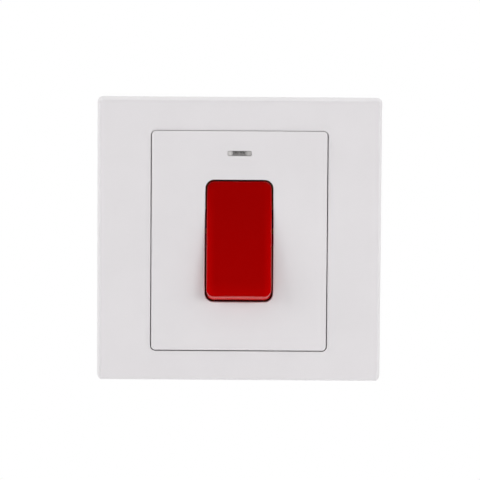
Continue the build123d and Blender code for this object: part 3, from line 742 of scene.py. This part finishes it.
def resistor_skin():
    """Dog-bone body along X: a waist between two caps, each cap a bell that closes as a quarter ellipse."""
    share = np.linspace(RESISTOR_END, 1 - RESISTOR_END, RESISTOR_RINGS)
    from_middle = np.abs(2 * share - 1)
    past = from_middle - RESISTOR_SHOULDER
    bell = RESISTOR_WAIST + (1 - RESISTOR_WAIST) * np.exp(-((past / RESISTOR_SPREAD) ** 2))
    cap = np.sqrt(1 - (np.maximum(past, 0) / (1 - RESISTOR_SHOULDER)) ** 2)
    radius = (resistor_high.z - resistor_low.z) / 2 * np.where(past < 0, bell, cap)
    height = (resistor_high.x - resistor_low.x) * share
    middle = (resistor_low + resistor_high) / 2
    sizes = [np.repeat(values[:, None], RESISTOR_COLUMNS, axis=1) for values in (radius, height)]
    return turned_skin((1, 0, 0), *sizes, np.array([resistor_low.x, middle.y, middle.z]))


series_resistor = new_piece(
    "series_resistor", mesh_of("series_resistor", [resistor_skin()]), resistor_lacquer
)
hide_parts("neon_resistor")


def coil_skin(seat, axis):
    """Coil spring behind its seat: a circle square to the wire, carried along a helix of even pitch.

    The helix goes round the axis at the coil's radius and rises by one pitch a turn.
    """
    turn = np.linspace(0, SPRING_TURNS, SPRING_TURNS * SPRING_STEPS + 1)[:, None, None]
    angle = FULL_TURN * turn
    round_wire = np.linspace(0, FULL_TURN, WIRE_COLUMNS, endpoint=False)[None, :, None]
    across = np.array([1.0, 0.0, 0.0])
    upward = np.cross(axis, across)
    spoke = np.cos(angle) * across + np.sin(angle) * upward
    pitch = (SPRING_LENGTH - 2 * WIRE_RADIUS) / SPRING_TURNS
    wire = FULL_TURN * SPRING_RADIUS * (np.cos(angle) * upward - np.sin(angle) * across) + pitch * axis
    wire = wire / np.linalg.norm(wire, axis=-1, keepdims=True)
    line = seat + (WIRE_RADIUS - SPRING_LENGTH + pitch * turn) * axis + SPRING_RADIUS * spoke
    section = np.cos(round_wire) * spoke + np.sin(round_wire) * np.cross(wire, spoke)
    return closed_skin(line + WIRE_RADIUS * section)


for pole in ("live", "neutral"):
    slide = joints["plunger_slide_" + pole]
    axis = np.array(slide["axis"])
    spring_low, spring_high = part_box("plunger_spring_" + pole)
    seat = np.array(joints["rocker_tilt"]["pos_m"]) + SPRING_SEAT * axis
    seat[0] = (spring_low.x + spring_high.x) / 2
    name = "coil_spring_" + pole
    spring = new_piece(
        name, mesh_of(name, [coil_skin(seat, axis)]), spring_wire, "rocker_unit"
    )
    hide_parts("plunger_spring_" + pole)
    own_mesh(spring)


def raised_word(name, word, across, up):
    """Raised letters on the housing's back, read from behind, sunk by half so that they grow out of it."""
    curve = bpy.data.curves.new(name, "FONT")
    curve.body = word
    curve.size = MARK_HEIGHT
    curve.extrude = MARK_RISE
    curve.align_x = "CENTER"
    curve.align_y = "CENTER"
    draft = bpy.data.objects.new(name, curve)
    bpy.context.scene.collection.objects.link(draft)
    mesh = bpy.data.meshes.new_from_object(draft.evaluated_get(bpy.context.evaluated_depsgraph_get()))
    bpy.data.objects.remove(draft)
    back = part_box("housing")[1].y - COLLAR_RISE
    mesh.transform(Matrix(((-1, 0, 0, across), (0, 0, 1, back), (0, 1, 0, up), (0, 0, 0, 1))))
    skin = bmesh.new()
    skin.from_mesh(mesh)
    bmesh.ops.remove_doubles(skin, verts=skin.verts, dist=MARK_WELD)
    bmesh.ops.recalc_face_normals(skin, faces=skin.faces)
    skin.to_mesh(mesh)
    skin.free()
    new_piece(name, mesh, charcoal_phenolic)


for end, word, up in (("supply", "IN", -1), ("load", "OUT", 1)):
    raised_word("mark_" + end, word, 0, up * WORD_UP)
    raised_word("mark_" + end + "_live", "L", MARK_ACROSS, up * MARK_UP)
    raised_word("mark_" + end + "_neutral", "N", -MARK_ACROSS, up * MARK_UP)


def aim(thing, place, target, roll=0.0):
    """Stand a camera or lamp at a place, looking at a target, turned about its own axis by the roll."""
    turn = (target - place).to_track_quat("-Z", "Y").to_matrix().to_4x4()
    thing.matrix_world = Matrix.Translation(place) @ turn @ Matrix.Rotation(roll, 4, "Z")


camera = bpy.data.objects.new("camera", bpy.data.cameras.new("camera"))
camera.data.lens = LENS_LENGTH
bpy.context.scene.collection.objects.link(camera)
view_back = Vector((0.0, -math.cos(VIEW_ELEVATION), math.sin(VIEW_ELEVATION)))
aim(camera, VIEW_AIM + VIEW_DISTANCE * view_back, VIEW_AIM, VIEW_ROLL)
bpy.context.scene.camera = camera

# Lamps, which reflections don't show: place, size across and along in metres, power in watts
LAMPS = {
    "top": ((0.0, -0.26, 0.85), 0.6, 0.4, 1.22),
    "left": ((-1.0, -0.35, 0.30), 0.5, 0.5, 5.6),
    "right": ((1.0, -0.35, 0.30), 0.5, 0.5, 3.1),
    "left_front": ((-0.72, -0.72, 0.25), 0.4, 0.4, 0.8),
    "right_front": ((0.72, -0.72, 0.25), 0.4, 0.4, 3.3),
    "low": ((0.0, -0.25, -0.60), 0.6, 0.3, 1.35),
    "behind": ((0.0, 0.88, 0.38), 0.5, 0.5, 5.5),
}
for name, (place, across, along, power) in LAMPS.items():
    data = bpy.data.lights.new(name, "AREA")
    data.shape = "RECTANGLE"
    data.size = across
    data.size_y = along
    data.energy = power
    lamp = bpy.data.objects.new(name, data)
    lamp.visible_glossy = False
    bpy.context.scene.collection.objects.link(lamp)
    aim(lamp, Vector(place), Vector((0, 0, 0)))


def seen_directly(tree):
    """One for a ray from the camera, from a reflection or through glass, else nought."""
    path = add_node(tree, "ShaderNodeLightPath")
    seen = path.outputs["Is Camera Ray"]
    for other in ("Is Glossy Ray", "Is Transmission Ray"):
        inputs = {0: seen, 1: path.outputs[other]}
        seen = add_node(tree, "ShaderNodeMath", inputs, operation="MAXIMUM").outputs["Value"]
    return seen


# World: even fill on the object, white wherever it is seen directly, in a reflection or through glass.
# The fill is the same from all sides, so it needs no map for sampling.
world = bpy.data.worlds.new("studio")
world.use_nodes = True
world.cycles.sampling_method = "NONE"
bpy.context.scene.world = world
tree = world.node_tree
tree.nodes.clear()
fill = add_node(tree, "ShaderNodeBackground", {"Color": (1, 1, 1, 1), "Strength": FILL_STRENGTH})
white = add_node(tree, "ShaderNodeBackground", {"Color": (1, 1, 1, 1), "Strength": 1.0})
inputs = {0: seen_directly(tree), 1: fill.outputs["Background"], 2: white.outputs["Background"]}
blend = add_node(tree, "ShaderNodeMixShader", inputs)
add_node(tree, "ShaderNodeOutputWorld", {"Surface": blend.outputs["Shader"]})

# Floor: pale studio paper, faintly fibrous, whitened where it is seen directly
studio_paper = moulded_plastic(
    "pale_studio_paper",
    "#F0F0F0",
    "#F3F3F3",
    cloud=60.0,
    grain=1.5,
    depth=0.05,
    gloss=(0.7, 0.8),
)
tree = studio_paper.node_tree
paper_end = tree.nodes["Material Output"].inputs["Surface"]
paper_skin = paper_end.links[0].from_socket
glow = add_node(tree, "ShaderNodeEmission", {"Color": (1, 1, 1, 1), "Strength": 1.0})
share = add_node(tree, "ShaderNodeMath", {0: seen_directly(tree), 1: FLOOR_WHITE}, operation="MULTIPLY")
inputs = {0: share.outputs["Value"], 1: paper_skin, 2: glow.outputs["Emission"]}
paler = add_node(tree, "ShaderNodeMixShader", inputs)
tree.links.new(paler.outputs["Shader"], paper_end)
floor_sizes = capsule(FLOOR_RADIUS, -FLOOR_THICKNESS, 0, FLOOR_EDGE, FLOOR_EDGE, FLOOR_COLUMNS)
floor_skin = turned_skin((0, 0, 1), *floor_sizes, np.array([0, 0, FLOOR_LEVEL]))
floor_mesh = mesh_of("floor", [floor_skin])
floor_mesh.materials.append(studio_paper)
floor = bpy.data.objects.new("floor", floor_mesh)
bpy.context.scene.collection.objects.link(floor)


def screen_skin():
    """Part of a globe round the object: side runs left to right over the front, lift from foot to head."""
    sides = np.linspace(-SCREEN_SIDE, SCREEN_SIDE, SCREEN_COLUMNS)
    lifts = np.linspace(SCREEN_FOOT, SCREEN_HEAD, SCREEN_ROWS)
    side, lift = np.radians(np.meshgrid(sides, lifts))
    globe = np.stack([np.sin(side) * np.cos(lift), -np.cos(side) * np.cos(lift), np.sin(lift)], axis=-1)
    count = np.arange(side.size).reshape(side.shape)
    quads = np.stack([count[:-1, :-1], count[1:, :-1], count[1:, 1:], count[:-1, 1:]], axis=-1)
    return SCREEN_RADIUS * globe.reshape(-1, 3), quads.reshape(-1, 4), np.zeros((0, 3), dtype=int)


# Black velvet screen, shown by reflections alone: glossy faces that mirror it keep their own deep colour
black_velvet = moulded_plastic(
    "black_velvet_cloth",
    "#0E0E0F",
    "#161617",
    cloud=40.0,
    grain=1.0,
    depth=0.2,
    gloss=(0.9, 1.0),
    **{"Specular IOR Level": 0.0},
)
screen_mesh = mesh_of("dark_screen", [screen_skin()])
screen_mesh.materials.append(black_velvet)
screen = bpy.data.objects.new("dark_screen", screen_mesh)
screen.visible_camera = False
screen.visible_diffuse = False
screen.visible_shadow = False
screen.visible_transmission = False
bpy.context.scene.collection.objects.link(screen)

bpy.context.scene.view_settings.view_transform = "Standard"
